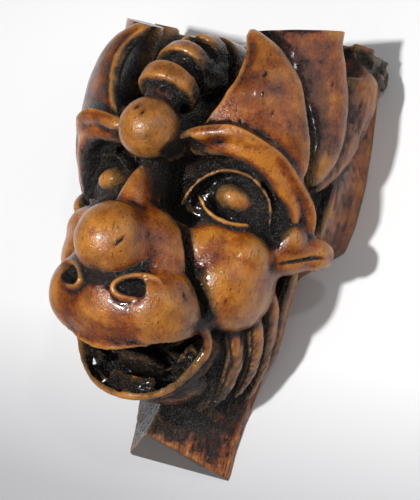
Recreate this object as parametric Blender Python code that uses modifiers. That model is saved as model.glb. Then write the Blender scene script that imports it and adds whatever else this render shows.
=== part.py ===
"""Dragon corbel: a horned monster's head on a wall block that narrows to a stem.

One carved or cast piece. The back is flat and lies in the plane Y = 0, with the
origin in its middle. The head looks towards -Y and +X is the viewer's right.
Places on the carving are shares of the overall sizes: 150 up, 88 across and 85
out from the wall, so it keeps its proportions.
"""
import math

import bmesh
import bpy
import numpy as np
from mathutils import Matrix, Vector

HEIGHT = 0.150          # bottom of the stem to the top of the block
WIDTH = 0.088           # across the block, ear to ear
DEPTH = 0.085           # wall to the bump of the nose
STEM_WIDTH = 0.039      # the foot of the stem, along the wall
STEM_DEPTH = 0.026      # wall to the front ridge of the stem's foot
FOOT_RISE = 0.009       # how much higher the foot's front ridge is than its back
KNOB_RADIUS = 0.0099    # ball at the root of the horn
RING_RADIUS = 0.0098    # rings of the horn
HORN_RADIUS = 0.0070    # horn between its rings
NOSE_RADIUS = 0.0122    # ball on top of the snout
LIP_BEAD = 0.0017       # half thickness of the bead along the lips
FINE = 0.0011           # cell of the skin that joins the forms
FACES = 7800            # triangles kept in the finished skin

UNIT = HEIGHT / 150.0
ACROSS = WIDTH / 88.0
OUT = DEPTH / 85.0


def at(x, y, z):
    """A place on the carving, from units across, out from the wall and up."""
    return Vector((x * ACROSS, y * OUT, (z - 75) * UNIT))


def add_ball(bm, centre, radii, turn=(0.0, 0.0, 0.0), sides=(1,)):
    """An egg, once or on both sides of the middle; turn is in degrees."""
    for side in sides:
        place = at(centre[0] * side, centre[1], centre[2])
        tilt = Matrix.Rotation(math.radians(turn[2] * side), 4, "Z")
        tilt = tilt @ Matrix.Rotation(math.radians(turn[1] * side), 4, "Y")
        tilt = tilt @ Matrix.Rotation(math.radians(turn[0]), 4, "X")
        size = Matrix.Diagonal((radii[0] * UNIT, radii[1] * UNIT, radii[2] * UNIT, 1.0))
        bmesh.ops.create_uvsphere(bm, u_segments=32, v_segments=20, radius=1.0,
                                  matrix=Matrix.Translation(place) @ tilt @ size)


def smooth_rows(rows, count):
    """Rows of numbers read along a smooth line through them."""
    rows = np.array(rows, float)
    knots = np.arange(len(rows))
    ends = np.vstack([2 * rows[0] - rows[1], rows, 2 * rows[-1] - rows[-2]])
    out = []
    for t in np.linspace(0, len(rows) - 1, count):
        i = min(int(t), len(knots) - 2)
        u = t - i
        a, b, c, d = ends[i], ends[i + 1], ends[i + 2], ends[i + 3]
        out.append(b + 0.5 * u * (c - a + u * (2 * a - 5 * b + 4 * c - d
                                               + u * (3 * (b - c) + d - a))))
    return np.array(out)


def add_limb(bm, rows, face, sides=(1,), blunt=5.0, around=20, along=26):
    """A ball drawn out along a line. Rows: x, y, z, half width, half thickness.

    The thickness lies along face, a direction, and the width across it.
    """
    for side in sides:
        ball = bmesh.ops.create_uvsphere(bm, u_segments=around, v_segments=along, radius=1.0)
        line = smooth_rows(rows, 61)
        line[:, 0] *= side
        for vert in ball["verts"]:
            a, b, c = vert.co
            spot = min(max((c + 1) / 2, 0.0), 1.0) * 60
            i = min(int(spot), 59)
            here = line[i] * (i + 1 - spot) + line[i + 1] * (spot - i)
            run = (at(*line[min(i + 2, 60)][:3]) - at(*line[max(i - 1, 0)][:3])).normalized()
            up = Vector((face[0] * side, face[1], face[2]))
            across = run.cross(up).normalized()
            up = across.cross(run).normalized()
            reach = math.hypot(a, b)
            if reach > 1e-6:
                swell = math.sqrt(max(0.0, 1 - abs(c) ** blunt)) / reach
                across = across * (a * swell * here[3] * UNIT * side)
                up = up * (b * swell * here[4] * UNIT)
                vert.co = at(*here[:3]) + across + up
            else:
                vert.co = at(*here[:3])
    bmesh.ops.recalc_face_normals(bm, faces=bm.faces)


def add_loft(bm, rings):
    """A closed body through rings of equally many corners."""
    loops = []
    for ring in rings:
        verts = [bm.verts.new(p) for p in ring]
        loops.append([bm.edges.new((verts[i - 1], verts[i])) for i in range(len(verts))])
    for low, high in zip(loops, loops[1:]):
        bmesh.ops.bridge_loops(bm, edges=low + high)
    bmesh.ops.contextual_create(bm, geom=loops[0])
    bmesh.ops.contextual_create(bm, geom=loops[-1])
    bmesh.ops.recalc_face_normals(bm, faces=bm.faces)


def add_turned(bm, spine, profile, around=28):
    """A round body along a line in the middle plane. Profile: place on the line, radius."""
    rings = []
    line = smooth_rows(spine, 100 * (len(spine) - 1) + 1)
    for spot, radius in profile:
        i = min(max(int(round(spot * 100)), 1), len(line) - 2)
        run = (at(*line[i + 1]) - at(*line[i - 1])).normalized()
        up = Vector((1, 0, 0)).cross(run)
        centre = at(*line[i])
        rings.append([centre + (Vector((1, 0, 0)) * math.cos(t) + up * math.sin(t)) * radius * UNIT
                      for t in (math.tau * k / around for k in range(around))])
    add_loft(bm, rings)


def as_object(bm, name, collection):
    mesh = bpy.data.meshes.new(name)
    bm.to_mesh(mesh)
    bm.free()
    obj = bpy.data.objects.new(name, mesh)
    collection.objects.link(obj)
    return obj


def settle(obj):
    """Bake an object's modifiers into its mesh."""
    bpy.context.view_layer.update()
    graph = bpy.context.evaluated_depsgraph_get()
    mesh = bpy.data.meshes.new_from_object(obj.evaluated_get(graph))
    obj.modifiers.clear()
    old = obj.data
    obj.data = mesh
    bpy.data.meshes.remove(old)


def press(co, centre, radii, push, turn=(0.0, 0.0, 0.0), sides=(1,)):
    """Press an egg-shaped hollow into the skin, along the direction push."""
    for side in sides:
        place = np.array(at(centre[0] * side, centre[1], centre[2]))
        tilt = Matrix.Rotation(math.radians(turn[2] * side), 3, "Z")
        tilt = tilt @ Matrix.Rotation(math.radians(turn[1] * side), 3, "Y")
        tilt = np.array(tilt @ Matrix.Rotation(math.radians(turn[0]), 3, "X"))
        way = np.array((push[0] * side, push[1], push[2]), float)
        way /= np.linalg.norm(way)
        size = np.array(radii) * UNIT
        local = (co - place) @ tilt / size
        step = way @ tilt / size
        a = step @ step
        b = local @ step
        c = (local ** 2).sum(axis=1) - 1
        inside = c < 0
        travel = (-b[inside] + np.sqrt(b[inside] ** 2 - a * c[inside])) / a
        co[inside] += travel[:, None] * way
    return co


def skin(obj, cell):
    """Join overlapping forms into one closed skin of even cells."""
    remesh = obj.modifiers.new("Skin", "REMESH")
    remesh.mode = "VOXEL"
    remesh.voxel_size = cell
    settle(obj)


for old in list(bpy.data.objects):
    bpy.data.objects.remove(old, do_unlink=True)

parts = bpy.data.collections.new("Dragon corbel")
bpy.context.scene.collection.children.link(parts)
BOTH = (1, -1)

# Wall block and stem: height, half width, depth at the sides, depth in the middle.
forms = bmesh.new()
stem_half = STEM_WIDTH / 2 / ACROSS
stem_out = STEM_DEPTH / OUT
block = 44.4
levels = [(-2, stem_half, 2, stem_out), (8, stem_half + 0.3, 2, stem_out - 0.5),
          (17, stem_half + 1, 2.5, stem_out - 5), (29, 22.5, 4, 20), (46, 24.5, 7, 28),
          (62, 25.5, 11, 33), (72, 28, 16, 36), (78, 36, 19, 36), (83, block - 2, 22, 36),
          (92, block - 0.4, 22, 36), (106, block, 22, 36), (120, block - 1.1, 22, 36),
          (136, block - 3, 21, 32), (144, block - 3.6, 18, 25), (150, block - 4, 14, 11),
          (156, block - 4, 12, 8)]
rings = []
for z, half, side, front in levels:
    rings.append([at(half, 4, z), at(half, -side, z), at(half * 0.45, -(side + front) / 2 - 1, z),
                  at(-1, -front, z), at(-half * 0.5, -(side + front) / 2, z),
                  at(-half, -side, z), at(-half, 4, z)])
add_loft(forms, rings)

# Skull and brow mass.
add_ball(forms, (0, -27, 92), (40, 23, 36))
add_ball(forms, (0, -33, 60), (29, 22, 24))

# Horn: a core with rings turned on it, and the ball at its root.
horn = [(0, -66, 103), (0, -64.5, 113.5), (0, -57.5, 123.5), (0, -47, 130), (0, -30, 132.5),
        (0, -10, 135)]
core = HORN_RADIUS / UNIT
ring = RING_RADIUS / UNIT
turned = [(0.0, core), (0.9, core)]
for start, end in ((0.96, 1.44), (1.82, 2.26), (2.62, 3.05), (3.3, 3.9)):
    turned += [(start, core), (start + 0.05, ring * 0.94), (start + 0.14, ring),
               (end - 0.14, ring), (end - 0.05, ring * 0.94), (end, core)]
add_turned(forms, horn, turned + [(5.0, core)])
add_ball(forms, (0, -68.8, 101.2), (KNOB_RADIUS / UNIT,) * 3)

# Bridge and ball of the nose, and the snout.
add_limb(forms, [(0, -61, 98, 5.5, 8), (0, -58.5, 90, 3.8, 9), (0, -60.5, 80, 5.6, 12),
                 (0, -62.5, 70, 9.5, 12)], (0, -1, 0), blunt=8)
add_ball(forms, (0, -72.5, 64), (NOSE_RADIUS / UNIT,) * 3)
add_ball(forms, (0, -55.5, 48), (24.5, 20.5, 16.5), turn=(6, 0, 0))
add_ball(forms, (12, -57.5, 48), (14, 16.5, 14), sides=BOTH)
add_ball(forms, (6, -58, 64), (10.5, 13, 12), sides=BOTH)

# Lips and lower jaw: the lips run out from the corners of the open mouth.
bead = LIP_BEAD / UNIT
upper = [(25, -43, 46), (24, -50, 46.5), (21.5, -56, 45), (17.5, -60.5, 39.8), (10, -64, 35),
         (0, -65.2, 32.6)]
lower = [(24.6, -43.5, 42.5), (24, -44.5, 36), (18, -45.5, 27.6), (10.5, -46.8, 21.8),
         (0, -47.5, 19.6)]
upper = upper + [(-x, y, z) for x, y, z in upper[-2::-1]]
lower = lower + [(-x, y, z) for x, y, z in lower[-2::-1]]
add_limb(forms, [(x, y + 1, z + 2, bead * 1.8, bead * 2.2) for x, y, z in upper], (0, -0.6, -0.8),
         blunt=16, along=60)
add_limb(forms, [(*p, bead, bead) for p in upper], (0, -0.6, -0.8), blunt=16, along=60)
add_limb(forms, [(x, y + 1, z, bead * 1.3, bead * 1.4) for x, y, z in lower], (0, -0.8, -0.6),
         blunt=16, along=60)
add_limb(forms, [(x * 0.93, y + 6, z + 5, 4, 5.5) for x, y, z in lower], (0, 0.6, -1), along=44)
add_ball(forms, (0, -30, 31), (21, 16, 12))

# Cheeks and the flares behind them; the left flare is the shorter one.
add_ball(forms, (24, -39, 62), (14, 17.5, 16.5), sides=BOTH)
flare = [(34, -36, 71, 9, 8), (43, -29, 76, 6, 5), (49.5, -22.5, 77, 3.2, 3.4)]
add_limb(forms, flare, (0.5, -0.8, 0.2))
add_limb(forms, [(-x * 0.88, y, z, w * 0.85, t * 0.85) for x, y, z, w, t in flare], (-0.5, -0.8, 0.2))

# Brow arches round the eye hollows.
arch = [(9.5, -63, 100.5), (17, -64, 102.5), (24.5, -62.8, 104), (29, -61, 104),
        (33, -57.5, 102.5), (37.3, -50, 100), (40.3, -43.5, 95.8), (42.3, -37.5, 91.5),
        (43, -33.5, 87), (42.3, -30.5, 81.5), (39.5, -32, 75)]
add_limb(forms, [(*p, 2.6, 3.2) for p in arch], (0.6, -0.8, 0.1), sides=BOTH, along=40)
add_limb(forms, [(12, -57, 104, 5, 7), (24, -56, 106, 5, 7), (32, -49, 101, 5, 6.5),
                 (36.5, -39.5, 94, 4, 5.5), (38.5, -30, 86, 4, 5.5), (37.5, -29, 78, 4, 5)],
         (0.6, -0.8, 0.1), sides=BOTH)

# Leaves that sweep up from the brow: the ear in front and two behind it.
ear = [(27, -51.5, 94, 17, 6), (28.6, -52.6, 101, 17.5, 5.5), (29.8, -54.6, 108, 15.6, 5),
       (30.4, -56, 115, 12.6, 4.4), (30, -56.6, 121, 10.2, 4), (28.6, -57, 126, 8.2, 3.8),
       (26.4, -57, 131, 5.7, 3.4), (23, -56.4, 135.5, 3.3, 2.8), (18.5, -54.8, 140.3, 1.4, 1.8)]
add_limb(forms, ear, (0.62, -0.78, 0.0), sides=BOTH, blunt=14, along=44)
second = [(41, -34, 97, 4, 5), (40, -33, 110, 8, 6), (37, -34, 121, 11, 6),
          (33, -36, 131, 13, 6), (29, -38.5, 140, 13.5, 5.5), (28, -39, 147.5, 13, 5)]
add_limb(forms, second, (0.62, -0.78, 0.0), blunt=16, along=36)
add_limb(forms, [(-x - (z - 97) * 0.06, y, 97 + (z - 97) * 0.93, w * 0.92, t)
                 for x, y, z, w, t in second], (-0.62, -0.78, 0.0), blunt=16, along=36)
third = [(40, -29, 96, 3, 5), (41, -23, 110, 6, 6), (41, -20, 122, 8, 6),
         (40.5, -18, 133, 9, 6), (38, -19, 144, 8, 5)]
add_limb(forms, third, (0.9, -0.42, 0.0), sides=BOTH, blunt=12, along=30)

# Broken corner of the block behind the leaves.
for x, y, z, size, turn in ((36, -12, 144, 6.5, 20), (38, -6, 142, 6, 50), (32, -8, 146, 6, 75)):
    bmesh.ops.create_cube(forms, size=size * 2 * UNIT, matrix=Matrix.Translation(at(x, y, z))
                          @ Matrix.Rotation(math.radians(turn), 4, (0.3, 0.2, 1.0)))

# Locks of the beard, each from the cheek down to the stem.
locks = [[(24, -37, 50, 5, 4), (26, -31, 40, 4.5, 3.6), (22.5, -25, 30, 3.5, 3),
          (16, -19, 21, 1.5, 1.5)],
         [(30, -32, 56, 4, 4), (29.5, -25, 44, 4, 3.5), (26.5, -19, 35, 3, 2.5),
          (21.5, -14, 27, 1.5, 1.5)],
         [(33, -27, 63, 3.5, 4), (30, -19, 50, 4, 3.5), (27, -12, 39, 3.2, 3),
          (22.5, -7, 27, 1.5, 1.5)],
         [(36, -22, 73, 3.5, 4), (30.5, -14, 60, 3.5, 3.5), (27.5, -8, 46, 3, 3),
          (24, -5, 34, 1.5, 1.5)],
         [(18, -34, 40, 4, 4), (20, -27, 30, 4, 3), (14, -21, 20, 2, 2)]]
for lock in locks:
    add_limb(forms, lock, (0.7, -0.7, 0.0), sides=BOTH, around=14)

body = as_object(forms, "dragon_corbel", parts)
skin(body, FINE)
co = np.empty(len(body.data.vertices) * 3)
body.data.vertices.foreach_get("co", co)
co = co.reshape(-1, 3)

# Hollows: eye hollows, mouth, nostrils and the clefts beside the horn.
co = press(co, (25.5, -60, 89), (15.5, 14.5, 13.2), (-0.2, 1, 0), turn=(0, 0, 30), sides=BOTH)
co = press(co, (0, -57.5, 26), (21, 9.4, 25), (0, 0.6, 0.8), turn=(-36, 0, 0))
co = press(co, (16, -54, 37), (7.4, 7.5, 21), (0, 0.6, 0.8), turn=(-30, 0, 0), sides=BOTH)
co = press(co, (0, -46, 29.5), (18, 15, 8), (0, 1, 0.1), turn=(-8, 0, 0))
co = press(co, (11.5, -73, 51), (4.4, 5.5, 2.8), (0, 1, 0.1), turn=(0, -14, 0), sides=BOTH)
co = press(co, (13, -52, 131), (5, 14, 17), (0, 1, 0), turn=(-20, 0, 0), sides=BOTH)
body.data.vertices.foreach_set("co", co.ravel())

# Eyes, lids, nostril rims, tongue and teeth stand in and round those hollows.
fine = bmesh.new()
fine.from_mesh(body.data)
add_ball(fine, (9.5, -56.5, 104), (9.5, 9, 8), sides=BOTH)
add_ball(fine, (26, -40.5, 86), (13, 6.5, 10), turn=(0, 12, 28), sides=BOTH)
add_ball(fine, (24.3, -45.5, 86), (7.2, 6, 5.2), turn=(0, 12, 28), sides=BOTH)
lid = [(10, -55, 81), (14, -55, 88.5), (21, -52.5, 93.5), (29, -47.5, 93), (34.5, -43, 87),
       (36, -42, 79)]
add_limb(fine, [(x, y + 2.5, z, 1.3, 4) for x, y, z in lid], (0.4, -0.9, 0), sides=BOTH,
         blunt=12, along=40, around=12)
low = [(15, -54.5, 83.5), (20, -53.5, 78.5), (27, -50, 77), (33, -46, 78)]
add_limb(fine, [(x, y + 2, z, 1.4, 3.4) for x, y, z in low], (0.4, -0.9, 0), sides=BOTH,
         blunt=8, around=12)
oval = [(11.5 + 6.4 * math.cos(t), -71.8 + 3.2 * math.cos(t), 51.2 + 3.9 * math.sin(t)
         + 1.2 * math.cos(t), 1.2, 1.9) for t in np.linspace(-0.3, 5.6, 14)]
add_limb(fine, oval, (0.3, -0.95, 0.1), sides=BOTH, blunt=20, around=12, along=40)
add_ball(fine, (0, -38, 31), (9.5, 12, 3.5), turn=(-12, 0, 0))
for x, y, z in ((20, -39, 35), (18.5, -41, 31), (15.5, -42.5, 27.5)):
    add_ball(fine, (x, y, z), (2.4, 2.6, 3.4), sides=BOTH)
add_limb(fine, [(-10, -43.5, 24.8, 1.8, 2.8), (0, -44.5, 23, 1.8, 2.8), (10, -43.5, 24.8, 1.8, 2.8)],
         (0, 0, 1))
fine.to_mesh(body.data)
fine.free()
skin(body, FINE)

# Flat back, top and foot.
final = bmesh.new()
final.from_mesh(body.data)
slope = math.atan2(FOOT_RISE, STEM_DEPTH)
for spot, normal in ((at(0, 0, 0), (0, 1, 0)), (at(0, 0, 150), (0, 0, 1)),
                     (at(0, 0, 0), (0, -math.sin(slope), -math.cos(slope)))):
    cut = bmesh.ops.bisect_plane(final, geom=final.verts[:] + final.edges[:] + final.faces[:],
                                 plane_co=spot, plane_no=normal, clear_outer=True)
    rim = [e for e in cut["geom_cut"] if isinstance(e, bmesh.types.BMEdge)]
    bmesh.ops.contextual_create(final, geom=rim)
bmesh.ops.triangulate(final, faces=final.faces[:])
share = FACES / len(final.faces)
final.to_mesh(body.data)
final.free()
thin = body.modifiers.new("Fewer faces", "DECIMATE")
thin.ratio = share
settle(body)

stain = bpy.data.materials.new("Stained corbel")
stain.use_nodes = True
look = stain.node_tree.nodes["Principled BSDF"]
look.inputs["Base Color"].default_value = (0.30, 0.105, 0.028, 1.0)
look.inputs["Roughness"].default_value = 0.38
look.inputs["Metallic"].default_value = 0.0
body.data.materials.clear()
body.data.materials.append(stain)
body.data.shade_smooth()
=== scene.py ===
import math

import bmesh
import bpy
import numpy as np
from mathutils import Matrix, Vector, noise
from mathutils.bvhtree import BVHTree


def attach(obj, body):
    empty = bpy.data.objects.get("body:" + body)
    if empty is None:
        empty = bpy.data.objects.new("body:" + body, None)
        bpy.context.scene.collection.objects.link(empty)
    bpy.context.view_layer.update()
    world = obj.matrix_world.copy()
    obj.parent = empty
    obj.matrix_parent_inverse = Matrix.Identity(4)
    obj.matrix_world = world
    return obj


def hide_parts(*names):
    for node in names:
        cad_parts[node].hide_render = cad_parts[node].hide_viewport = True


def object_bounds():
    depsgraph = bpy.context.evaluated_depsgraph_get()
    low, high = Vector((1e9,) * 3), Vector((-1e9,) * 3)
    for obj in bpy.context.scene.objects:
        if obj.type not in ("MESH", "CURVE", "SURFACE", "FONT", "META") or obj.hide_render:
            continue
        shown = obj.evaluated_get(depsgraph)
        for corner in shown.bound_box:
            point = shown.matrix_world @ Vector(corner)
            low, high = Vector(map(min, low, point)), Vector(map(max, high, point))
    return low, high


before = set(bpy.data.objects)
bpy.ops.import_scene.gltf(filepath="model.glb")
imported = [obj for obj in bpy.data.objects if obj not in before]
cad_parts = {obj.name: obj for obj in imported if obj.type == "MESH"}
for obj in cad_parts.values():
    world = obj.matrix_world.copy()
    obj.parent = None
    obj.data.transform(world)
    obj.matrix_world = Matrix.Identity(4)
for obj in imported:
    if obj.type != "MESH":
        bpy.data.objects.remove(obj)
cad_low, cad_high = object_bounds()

# Wall block and stem. The block lies flat on the wall and narrows to a stem that is
# cut off on a slant. It is one casting with the head, in a wood-coloured resin.
ORIGIN_HEIGHT = 75      # of the frame's origin above the foot of the stem, in millimetres
BOTH = (1, -1)          # the viewer's right side, and the left one as its mirror image


def at(x, y, z):
    """A place in the frame. Millimetres: across, out from the wall (below 0), up the stem."""
    return Vector((x, y, z - ORIGIN_HEIGHT)) * 0.001


def points_of(mesh):
    """The points of a mesh as rows of x, y, z."""
    co = np.empty(len(mesh.vertices) * 3)
    mesh.vertices.foreach_get("co", co)
    return co.reshape(-1, 3)


def move_points(mesh, co):
    """Put the points of a mesh in new places."""
    mesh.vertices.foreach_set("co", co.ravel())
    mesh.update()


unit_balls = {}


def unit_ball(around, along):
    """A ball of radius one, made once for each fineness, and the places of its points."""
    if (around, along) not in unit_balls:
        bm = bmesh.new()
        bmesh.ops.create_uvsphere(bm, u_segments=around, v_segments=along, radius=1.0)
        ball = bpy.data.meshes.new("ball")
        bm.to_mesh(ball)
        bm.free()
        unit_balls[around, along] = ball, points_of(ball)
    return unit_balls[around, along]


def add_ball(bm, centre, radii, turn=(0.0, 0.0, 0.0), sides=(1,)):
    """An egg, once or on both sides of the middle; turn is in degrees."""
    for side in sides:
        tilt = Matrix.Rotation(math.radians(turn[2] * side), 4, "Z")
        tilt = tilt @ Matrix.Rotation(math.radians(turn[1] * side), 4, "Y")
        tilt = tilt @ Matrix.Rotation(math.radians(turn[0]), 4, "X")
        size = Matrix.Diagonal((*(0.001 * r for r in radii), 1.0))
        place = Matrix.Translation(at(centre[0] * side, centre[1], centre[2]))
        egg = unit_ball(48, 30)[0].copy()
        egg.transform(place @ tilt @ size)
        bm.from_mesh(egg)
        bpy.data.meshes.remove(egg)


def smooth_rows(rows, count):
    """Rows of numbers read along a smooth line through them."""
    rows = np.array(rows, float)
    ends = np.vstack([2 * rows[0] - rows[1], rows, 2 * rows[-1] - rows[-2]])
    out = []
    for t in np.linspace(0, len(rows) - 1, count):
        i = min(int(t), len(rows) - 2)
        u = t - i
        a, b, c, d = ends[i:i + 4]
        out.append(b + 0.5 * u * (c - a + u * (2 * a - 5 * b + 4 * c - d
                                               + u * (3 * (b - c) + d - a))))
    return np.array(out)


LIMB_STEPS = 60         # places read along a limb's line


def add_limb(bm, rows, face, sides=(1,), blunt=5.0, around=24, along=36):
    """A ball drawn out along a line. Rows: x, y, z, half width, half thickness.

    The thickness lies along face, a direction, and the width across it. A blunt limb
    keeps its width nearly to its ends.
    """
    for side in sides:
        ball, unit = unit_ball(around, along)
        line = smooth_rows(rows, LIMB_STEPS + 1)
        line[:, 0] *= side
        line[:, 2] -= ORIGIN_HEIGHT
        line *= 0.001
        k = np.arange(LIMB_STEPS + 1)
        run = line[np.minimum(k + 2, LIMB_STEPS), :3] - line[np.maximum(k - 1, 0), :3]
        across = np.cross(run, (face[0] * side, face[1], face[2]))
        up = np.cross(run, across)
        across *= side / np.linalg.norm(across, axis=1)[:, None]
        up *= side / np.linalg.norm(up, axis=1)[:, None]
        spot = np.clip((unit[:, 2] + 1) / 2, 0, 1) * LIMB_STEPS
        k = np.minimum(spot.astype(int), LIMB_STEPS - 1)
        here = line[k] * (k + 1 - spot)[:, None] + line[k + 1] * (spot - k)[:, None]
        reach = np.maximum(np.hypot(unit[:, 0], unit[:, 1]), 1e-6)
        swell = np.sqrt(np.clip(1 - np.abs(unit[:, 2]) ** blunt, 0, 1)) / reach
        limb = ball.copy()
        limb.vertices.foreach_set("co", (
            here[:, :3] + across[k] * (unit[:, 0] * swell * here[:, 3])[:, None]
            + up[k] * (unit[:, 1] * swell * here[:, 4])[:, None]).ravel())
        bm.from_mesh(limb)
        bpy.data.meshes.remove(limb)


def add_cube(bm, centre, side, turn, axis):
    """A cube turned by some degrees round an axis."""
    place = Matrix.Translation(at(*centre)) @ Matrix.Rotation(math.radians(turn), 4, axis)
    bmesh.ops.create_cube(bm, size=side * 0.001, matrix=place)


def add_loft(bm, rings):
    """A closed body through rings of equally many corners."""
    loops = []
    for ring in rings:
        verts = [bm.verts.new(p) for p in ring]
        loops.append([bm.edges.new((verts[i - 1], verts[i])) for i in range(len(verts))])
    for low, high in zip(loops, loops[1:]):
        bmesh.ops.bridge_loops(bm, edges=low + high)
    bmesh.ops.contextual_create(bm, geom=loops[0])
    bmesh.ops.contextual_create(bm, geom=loops[-1])
    bmesh.ops.recalc_face_normals(bm, faces=bm.faces)


forms = bmesh.new()
block = 44.4            # half the width of the block
# Height, half width, depth at the sides and depth in the middle.
levels = [(-2, 19.5, 2, 26), (8, 19.8, 2, 25.5), (17, 20.5, 2.5, 21), (29, 22.5, 4, 20),
          (46, 24.5, 7, 28), (62, 25.5, 11, 33), (72, 28, 16, 36), (78, 36, 19, 36),
          (83, block - 2, 22, 36), (92, block - 0.4, 22, 36), (106, block, 22, 36),
          (120, block - 1.1, 22, 36), (136, block - 3, 21, 32), (144, block - 3.6, 18, 25),
          (150, block - 4, 14, 11), (156, block - 4, 12, 8)]
rings = []
for z, half, side, front in levels:
    rings.append([at(half, 4, z), at(half, -side, z),
                  at(half * 0.45, -(side + front) / 2 - 1, z), at(-1, -front, z),
                  at(-half * 0.5, -(side + front) / 2, z), at(-half, -side, z), at(-half, 4, z)])
add_loft(forms, rings)
# Skull and jaw, which carry the face.
add_ball(forms, (0, -27, 92), (40, 23, 36))
add_ball(forms, (0, -33, 60), (29, 22, 24))

# Horn. A round core with flat-edged rings, bent back over the skull, and a ball
# at its root. The grooves between the rings are cut deep and hold black stain.


def add_turned(bm, spine, profile, around=40):
    """A round body along a line in the middle plane. Profile: place on the line, radius."""
    rings = []
    steps = 100
    line = smooth_rows(spine, steps * (len(spine) - 1) + 1)
    sideways = Vector((1, 0, 0))
    for spot, radius in profile:
        i = min(max(int(round(spot * steps)), 1), len(line) - 2)
        up = sideways.cross((at(*line[i + 1]) - at(*line[i - 1])).normalized())
        turns = [math.tau * k / around for k in range(around)]
        rings.append([at(*line[i]) + (sideways * math.cos(t) + up * math.sin(t)) * radius * 0.001
                      for t in turns])
    add_loft(bm, rings)


horn = [(0, -66, 103), (0, -64.5, 113.5), (0, -57.5, 123.5), (0, -47, 130), (0, -30, 132.5),
        (0, -10, 135)]
core, ring = 6.2, 10.1  # radius of the horn, and of the rings on it
turned = [(0.0, core), (0.9, core)]
for start, end in ((0.96, 1.44), (1.82, 2.26), (2.62, 3.05), (3.3, 3.9)):
    turned += [(start, core), (start + 0.02, ring * 0.96), (start + 0.07, ring),
               (end - 0.07, ring), (end - 0.02, ring * 0.96), (end, core)]
add_turned(forms, horn, turned + [(5.0, core)])
add_ball(forms, (0, -68.8, 101.2), (9.9, 9.9, 9.9))

# Nose and snout. A narrow bridge runs down from the horn to a round bump, over a
# broad muzzle with two wide nostrils. All of it is worn smooth and golden.
add_limb(forms, [(0, -61, 98, 5.5, 8), (0, -58.5, 90, 3.4, 9), (0, -60.5, 80, 5.4, 12),
                 (0, -62.5, 70, 9.5, 12)], (0, -1, 0), blunt=8)
add_ball(forms, (0, -72.5, 64), (12.2, 12.2, 12.2))
add_ball(forms, (0, -55.5, 48), (24.5, 20.5, 16.5), turn=(6, 0, 0))
add_ball(forms, (12, -57.5, 48), (14, 16.5, 14), sides=BOTH)
add_ball(forms, (9.5, -58.5, 63.5), (11.3, 12.5, 12.5), sides=BOTH)
add_ball(forms, (6, -63, 67), (10.5, 10.5, 11), sides=BOTH)

# Lips and lower jaw. Thin rounded lips run out from the corners of the open mouth,
# and the jaw behind the lower lip holds a hollow with the tongue in it.
upper = [(25, -43, 46), (24, -50, 46.5), (21.5, -56, 45), (17.5, -60.5, 39.8), (10, -64, 35),
         (0, -65.2, 32.6)]
lower = [(20.4, -57, 43.4), (22.3, -54, 44.8), (24, -50, 44.8), (24.7, -47, 42.9),
         (24.4, -45, 40), (23.4, -44.5, 36), (18, -45.5, 27.6), (10.5, -46.8, 21.8),
         (0, -47.5, 19.6)]
upper += [(-x, y, z) for x, y, z in upper[-2::-1]]
lower += [(-x, y, z) for x, y, z in lower[-2::-1]]
lip = 1.35              # half the thickness of the lips
add_limb(forms, [(x, y + 1, z + 2, lip * 1.8, lip * 2.2) for x, y, z in upper], (0, -0.6, -0.8),
         blunt=16, along=60)
add_limb(forms, [(*p, lip, lip) for p in upper], (0, -0.6, -0.8), blunt=16, along=60)
add_limb(forms, [(x, y + 1, z, lip * 1.3, lip * 1.4) for x, y, z in lower], (0, -0.8, -0.6),
         blunt=16, along=60)
add_limb(forms, [(x * 0.93, y + 6.5, z + 4.5, 3.2, 5.5) for x, y, z in lower[4:-4]], (0, 0.6, -1),
         along=44)
add_ball(forms, (0, -30, 31), (21, 16, 12))

# Cheeks, and the flares that stand out behind them like small ears, at the outer ends
# of the brow arches. The left flare is the shorter one.
add_ball(forms, (24, -39, 62), (14, 17.5, 16.5), sides=BOTH)
add_ball(forms, (27, -44, 70), (11.5, 9, 9), sides=BOTH)
add_ball(forms, (20, -48.5, 69), (9, 9, 11), sides=BOTH)
add_ball(forms, (39.5, -35, 79), (5.5, 5.5, 5.5), sides=BOTH)
flare = [(33, -36.5, 71, 8.5, 8.5), (41.5, -30, 76.2, 6.4, 5.6), (46.5, -26, 76.4, 5.4, 4.6),
         (49.4, -23, 75, 3.0, 2.6)]
add_limb(forms, flare, (0.5, -0.8, 0.2))
add_limb(forms, [(-x * 0.88, y, z, w * 0.85, t * 0.85) for x, y, z, w, t in flare],
         (-0.5, -0.8, 0.2))

# Brow arches. Each is a raised bead on a broad band, carved round the eye hollow from
# beside the horn to the flare.
arch = [(7, -62, 99.5), (11, -63.5, 100.8), (17, -64, 102.5), (24.5, -62.8, 104), (29, -61, 104),
        (33, -57.5, 102.5), (37.3, -50, 100), (40.3, -43.5, 95.8), (42.3, -37.5, 91.5),
        (43, -33.5, 87), (42.3, -30.5, 81.5), (39.5, -32, 75)]
add_limb(forms, [(*p, 2.6, 3.2) for p in arch], (0.6, -0.8, 0.1), sides=BOTH, along=60)
add_limb(forms, [(12, -57, 104, 5, 7), (24, -56, 106, 5, 7), (32, -49, 101, 5, 6.5),
                 (36.5, -39.5, 94, 4, 5.5), (38.5, -30, 86, 4, 5.5), (37.5, -29, 78, 4, 5)],
         (0.6, -0.8, 0.1), sides=BOTH)

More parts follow.
